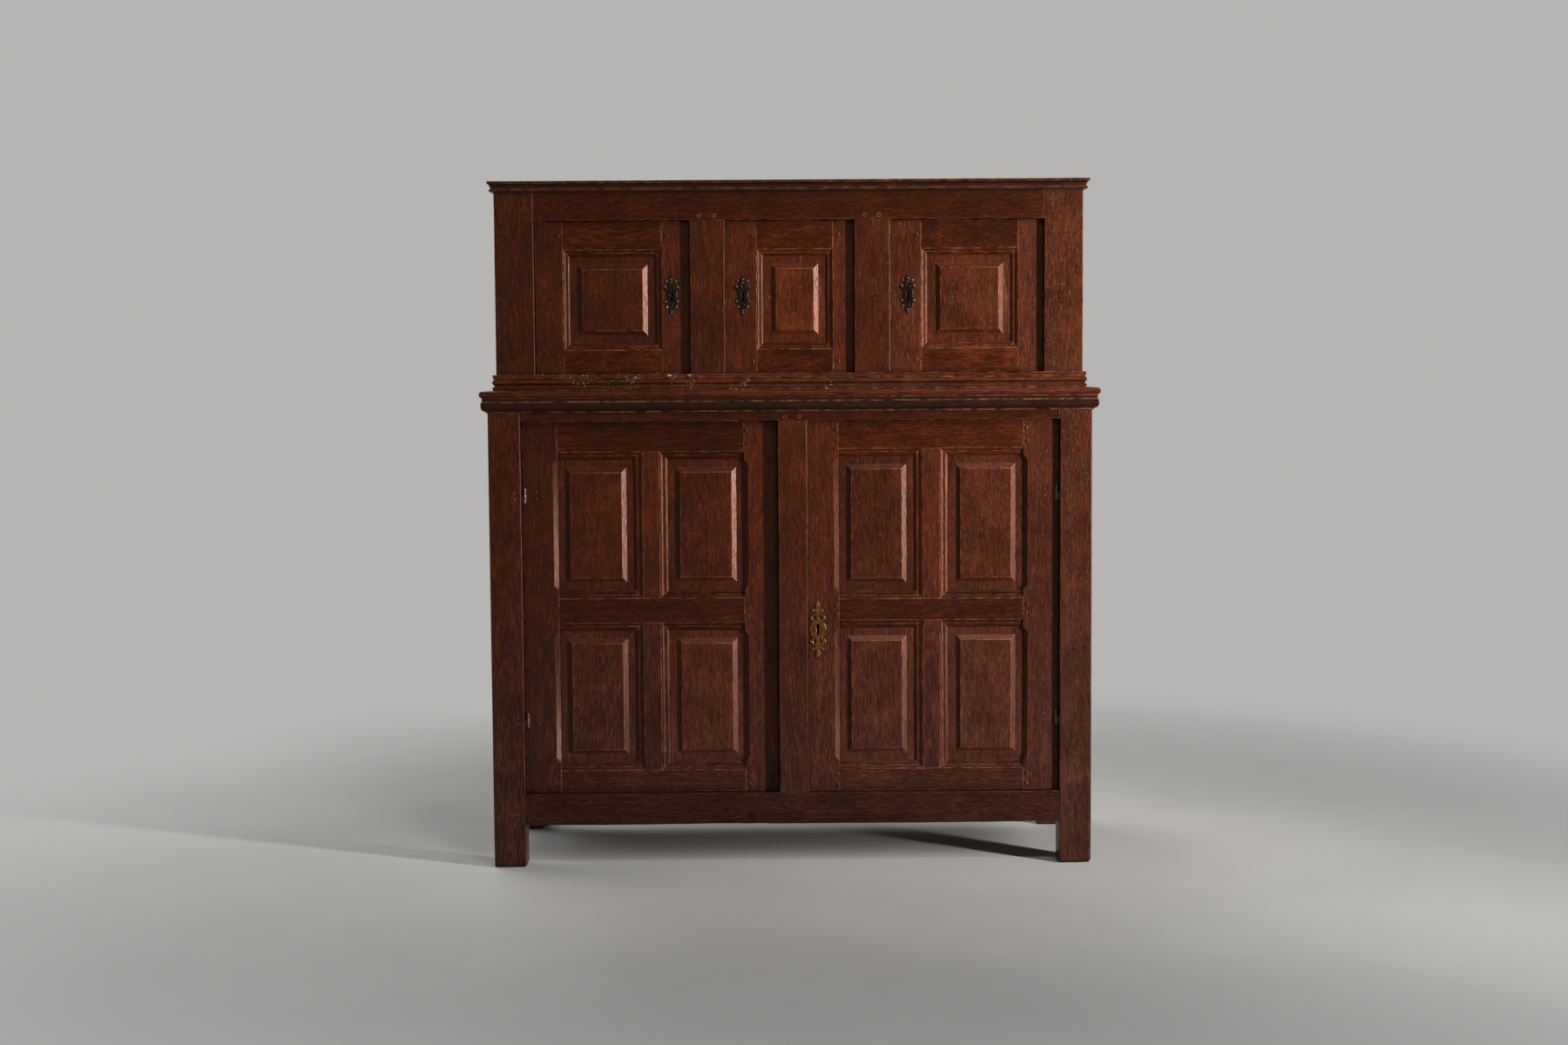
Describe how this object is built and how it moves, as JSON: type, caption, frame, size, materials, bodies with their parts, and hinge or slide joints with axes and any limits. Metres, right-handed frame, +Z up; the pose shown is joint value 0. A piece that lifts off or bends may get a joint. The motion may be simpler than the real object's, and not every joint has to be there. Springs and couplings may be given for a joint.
{
  "type": "court cupboard",
  "caption": "Framed oak court cupboard: a wide panelled lower stage with a shelf and a narrower upper stage of locked compartments, with panelled doors that swing on pin hinges.",
  "frame": {"origin": "on the floor under the centre of the bounding box", "axes": "+Z up, the doors face -Y, +X to the right as seen from the front"},
  "size_m": [1.456, 0.517, 1.623],
  "materials": {
    "waxed_oak": "dark waxed oak, straight grain, worn bright on the arrises",
    "panel_oak": "dark waxed oak panels, plain sawn grain",
    "inner_oak": "dry unpolished oak boards of the inside and back",
    "peg_oak": "end grain of riven oak pegs",
    "iron": "dark forged iron, rubbed bright on edges",
    "brass": "old patinated brass"
  },
  "bodies": {
    "root": {"door_stops": "inner_oak", "frame_hinges_and_pins": "iron", "frame_pegs": "peg_oak", "lower_back_boards": "inner_oak", "lower_back_rails": "inner_oak", "lower_floor_boards": "inner_oak", "lower_front_muntins": "waxed_oak", "lower_front_rails": "waxed_oak", "lower_posts": "waxed_oak", "lower_side_panels": "panel_oak", "lower_side_rails": "waxed_oak", "middle_cornice": "waxed_oak", "middle_top_boards": "waxed_oak", "partitions": "inner_oak", "roof_boards": "waxed_oak", "shelf_bearers": "inner_oak", "shelf_boards": "inner_oak", "top_cornice": "waxed_oak", "upper_back_boards": "inner_oak", "upper_back_rails": "inner_oak", "upper_floor_boards": "inner_oak", "upper_front_muntins": "waxed_oak", "upper_front_rails": "waxed_oak", "upper_posts": "waxed_oak", "upper_side_panels": "panel_oak", "upper_side_rails": "waxed_oak", "waist_moulding": "waxed_oak"},
    "upper_left_door": {"upper_left_door_escutcheon": "brass", "upper_left_door_hinges": "iron", "upper_left_door_lock_case": "iron", "upper_left_door_panel": "panel_oak", "upper_left_door_rails": "waxed_oak", "upper_left_door_stiles": "waxed_oak"},
    "upper_left_door_lock_bolt": {"upper_left_door_lock_bolt": "iron"},
    "upper_middle_door": {"upper_middle_door_escutcheon": "brass", "upper_middle_door_hinges": "iron", "upper_middle_door_lock_case": "iron", "upper_middle_door_panel": "panel_oak", "upper_middle_door_rails": "waxed_oak", "upper_middle_door_stiles": "waxed_oak"},
    "upper_middle_door_lock_bolt": {"upper_middle_door_lock_bolt": "iron"},
    "upper_right_door": {"upper_right_door_escutcheon": "brass", "upper_right_door_hinges": "iron", "upper_right_door_lock_case": "iron", "upper_right_door_panel": "panel_oak", "upper_right_door_rails": "waxed_oak", "upper_right_door_stiles": "waxed_oak"},
    "upper_right_door_lock_bolt": {"upper_right_door_lock_bolt": "iron"},
    "lower_left_door": {"lower_left_door_hinges": "iron", "lower_left_door_panels": "panel_oak", "lower_left_door_rails": "waxed_oak", "lower_left_door_uprights": "waxed_oak"},
    "lower_left_door_turn_button": {"lower_left_door_turn_button": "inner_oak"},
    "lower_right_door": {"lower_right_door_escutcheon": "brass", "lower_right_door_hinges": "iron", "lower_right_door_lock_case": "iron", "lower_right_door_panels": "panel_oak", "lower_right_door_rails": "waxed_oak", "lower_right_door_uprights": "waxed_oak"},
    "lower_right_door_lock_bolt": {"lower_right_door_lock_bolt": "iron"}
  },
  "joints": [
    {"name": "upper_left_door_swing", "type": "hinge", "parent": "root", "child": "upper_left_door", "pos_m": [-0.586, -0.194, 1.3455], "axis": [0, 0, -1], "range_deg": [0, 105]},
    {"name": "upper_middle_door_swing", "type": "hinge", "parent": "root", "child": "upper_middle_door", "pos_m": [0.139, -0.194, 1.3455], "axis": [0, 0, 1], "range_deg": [0, 105]},
    {"name": "upper_right_door_swing", "type": "hinge", "parent": "root", "child": "upper_right_door", "pos_m": [0.586, -0.194, 1.3455], "axis": [0, 0, 1], "range_deg": [0, 105]},
    {"name": "lower_left_door_swing", "type": "hinge", "parent": "root", "child": "lower_left_door", "pos_m": [-0.6287, -0.2207, 0.35], "axis": [0, 0, -1], "range_deg": [0, 100]},
    {"name": "lower_right_door_swing", "type": "hinge", "parent": "root", "child": "lower_right_door", "pos_m": [0.6287, -0.2287, 0.35], "axis": [0, 0, 1], "range_deg": [0, 110]},
    {"name": "upper_left_door_bolt_slide", "type": "slide", "parent": "upper_left_door", "child": "upper_left_door_lock_bolt", "axis": [1, 0, 0], "range_m": [0, 0.01]},
    {"name": "upper_middle_door_bolt_slide", "type": "slide", "parent": "upper_middle_door", "child": "upper_middle_door_lock_bolt", "axis": [-1, 0, 0], "range_m": [0, 0.01]},
    {"name": "upper_right_door_bolt_slide", "type": "slide", "parent": "upper_right_door", "child": "upper_right_door_lock_bolt", "axis": [-1, 0, 0], "range_m": [0, 0.01]},
    {"name": "lower_right_door_bolt_slide", "type": "slide", "parent": "lower_right_door", "child": "lower_right_door_lock_bolt", "axis": [-1, 0, 0], "range_m": [0, 0.01]},
    {"name": "turn_button_pivot", "type": "hinge", "parent": "lower_left_door", "child": "lower_left_door_turn_button", "pos_m": [-0.058, -0.1975, 0.604], "axis": [0, -1, 0], "range_deg": [0, 90]}
  ]
}
